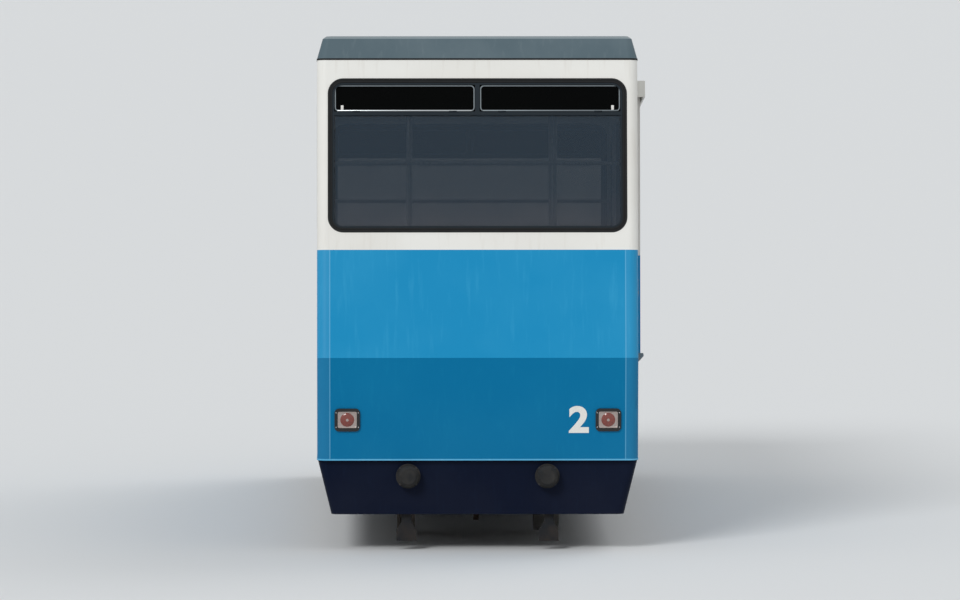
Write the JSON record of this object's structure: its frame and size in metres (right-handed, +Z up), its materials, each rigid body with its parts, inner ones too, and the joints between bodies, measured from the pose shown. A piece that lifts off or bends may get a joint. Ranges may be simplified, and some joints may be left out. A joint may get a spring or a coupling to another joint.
{
  "type": "funicular car",
  "caption": "Two-axle funicular car with a level cabin on a wedge underframe, sliding side doors and blue and white panels.",
  "frame": {"origin": "middle of the track and of the wheelbase, on the plane that the wheel flanges touch", "axes": "+X to the right seen from the downhill end, +Y along the track towards the uphill end, +Z up, square to the track"},
  "size_m": [2.469, 7.2209, 3.8341],
  "materials": {
    "white_paint": "gloss white enamel",
    "light_blue_paint": "gloss light blue enamel",
    "mid_blue_paint": "gloss darker blue enamel",
    "navy_paint": "satin navy enamel",
    "roof_paint": "satin grey",
    "floor_covering": "studded floor covering",
    "ceiling_panel": "matt white lining",
    "tinted_glass": "tinted safety glass",
    "seal_rubber": "black rubber profile",
    "aluminium": "satin anodised",
    "lamp_plastic": "black moulded housing",
    "lamp_lens": "red-brown lens",
    "buffer_rubber": "black rubber",
    "underframe_paint": "dark grey primer with dirt",
    "wheel_steel": "rolled steel with brake dust",
    "axlebox_casting": "grey casting",
    "spring_rubber": "layered rubber spring",
    "seat_shell": "blue seat shell",
    "rail_steel": "brushed stainless steel",
    "desk_plastic": "grey console"
  },
  "bodies": {
    "car": {"apron_downhill": "navy_paint", "apron_uphill": "navy_paint", "axleboxes": "axlebox_casting", "benches": "seat_shell", "buffers": "buffer_rubber", "ceiling": "ceiling_panel", "control_desks": "desk_plastic", "cross_members": "underframe_paint", "disc_brakes": "underframe_paint", "door_guides": "aluminium", "door_headers": "white_paint", "equipment_case": "underframe_paint", "floor": "floor_covering", "girder_bottom_flanges": "underframe_paint", "girder_top_flanges": "underframe_paint", "girder_web_left": "underframe_paint", "girder_web_right": "underframe_paint", "handrails": "rail_steel", "headstocks": "underframe_paint", "lamp_housings": "lamp_plastic", "lamp_lenses": "lamp_lens", "lower_nose_downhill": "mid_blue_paint", "lower_nose_uphill": "mid_blue_paint", "lower_side_left": "mid_blue_paint", "lower_side_right": "mid_blue_paint", "nose_panel_downhill": "light_blue_paint", "nose_panel_uphill": "light_blue_paint", "rail_brakes": "underframe_paint", "roof": "roof_paint", "rope_anchor": "underframe_paint", "side_glass": "tinted_glass", "side_panel_left": "light_blue_paint", "side_panel_right": "light_blue_paint", "side_window_seals": "seal_rubber", "skirt_left": "navy_paint", "skirt_right": "navy_paint", "springs": "spring_rubber", "top_lights": "tinted_glass", "window_wall_downhill": "white_paint", "window_wall_left": "white_paint", "window_wall_right": "white_paint", "window_wall_uphill": "white_paint", "windscreen_frames": "aluminium", "windscreen_seals": "seal_rubber", "windscreens": "tinted_glass"},
    "door_a_lower_leaf": {"door_a_lower_leaf": "light_blue_paint", "door_a_lower_glass": "tinted_glass"},
    "door_a_upper_leaf": {"door_a_upper_leaf": "light_blue_paint", "door_a_upper_glass": "tinted_glass"},
    "door_b_lower_leaf": {"door_b_lower_leaf": "light_blue_paint", "door_b_lower_glass": "tinted_glass"},
    "door_b_upper_leaf": {"door_b_upper_leaf": "light_blue_paint", "door_b_upper_glass": "tinted_glass"},
    "wheelset_downhill": {"wheelset_downhill": "wheel_steel"},
    "wheelset_uphill": {"wheelset_uphill": "wheel_steel"}
  },
  "joints": [
    {"name": "wheelset_downhill_turn", "type": "hinge", "parent": "car", "child": "wheelset_downhill", "pos_m": [0, -2, 0.322], "axis": [1, 0, 0], "continuous": true},
    {"name": "wheelset_uphill_turn", "type": "hinge", "parent": "car", "child": "wheelset_uphill", "pos_m": [0, 2, 0.322], "axis": [1, 0, 0], "continuous": true},
    {"name": "door_a_lower_leaf_slide", "type": "slide", "parent": "car", "child": "door_a_lower_leaf", "axis": [0, -0.995, 0.0995], "range_m": [0, 0.6]},
    {"name": "door_a_upper_leaf_slide", "type": "slide", "parent": "car", "child": "door_a_upper_leaf", "axis": [0, 0.995, -0.0995], "range_m": [0, 0.6]},
    {"name": "door_b_lower_leaf_slide", "type": "slide", "parent": "car", "child": "door_b_lower_leaf", "axis": [0, -0.995, 0.0995], "range_m": [0, 0.6]},
    {"name": "door_b_upper_leaf_slide", "type": "slide", "parent": "car", "child": "door_b_upper_leaf", "axis": [0, 0.995, -0.0995], "range_m": [0, 0.6]}
  ],
  "couplings": [
    {"joint": "door_a_upper_leaf_slide", "follows": "door_a_lower_leaf_slide", "ratio": 1},
    {"joint": "door_b_upper_leaf_slide", "follows": "door_b_lower_leaf_slide", "ratio": 1}
  ]
}
